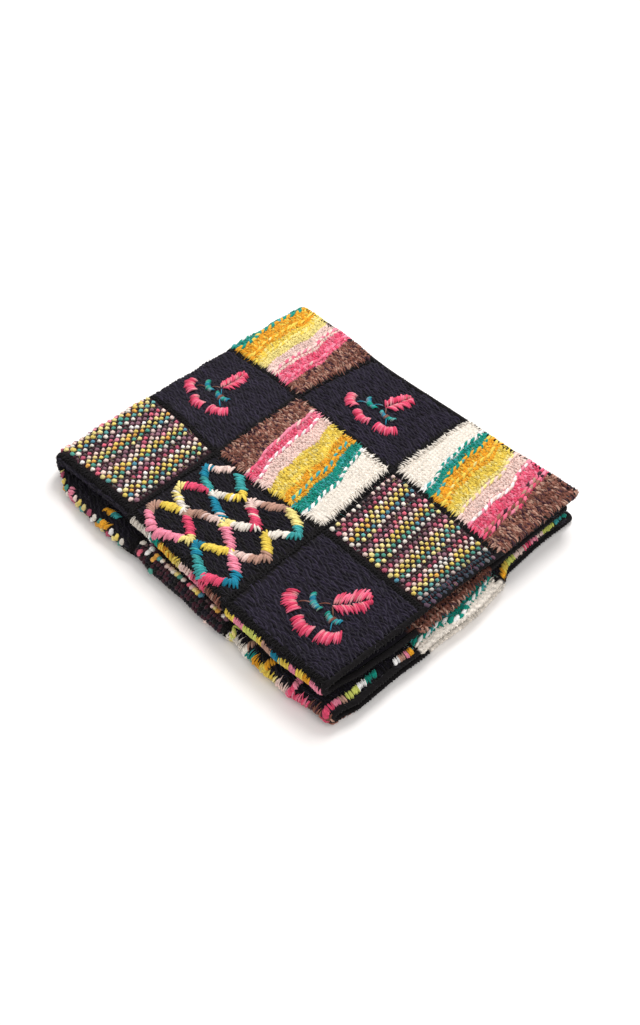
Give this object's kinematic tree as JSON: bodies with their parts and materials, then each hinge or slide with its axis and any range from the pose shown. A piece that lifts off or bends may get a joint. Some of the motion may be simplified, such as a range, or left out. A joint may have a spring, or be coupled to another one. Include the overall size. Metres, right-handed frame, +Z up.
{
  "type": "knitted patchwork blanket",
  "caption": "Chunky knitted patchwork throw with crocheted joins and edging, folded in half twice and lying flat.",
  "frame": {"origin": "on the surface it lies on, under the middle of the folded stack", "axes": "+Z up; +X along the folded stack's longer side, from the large bend at -X to the open hems at +X; -Y is the side with the two small bends, +Y the side with the open hems"},
  "size_m": [0.6561, 0.5547, 0.0679],
  "materials": {
    "knitted_wool": "matte chunky wool knit",
    "black_wool": "matte crocheted wool"
  },
  "bodies": {
    "root": {"blanket": "knitted_wool", "edging": "black_wool"}
  },
  "joints": []
}
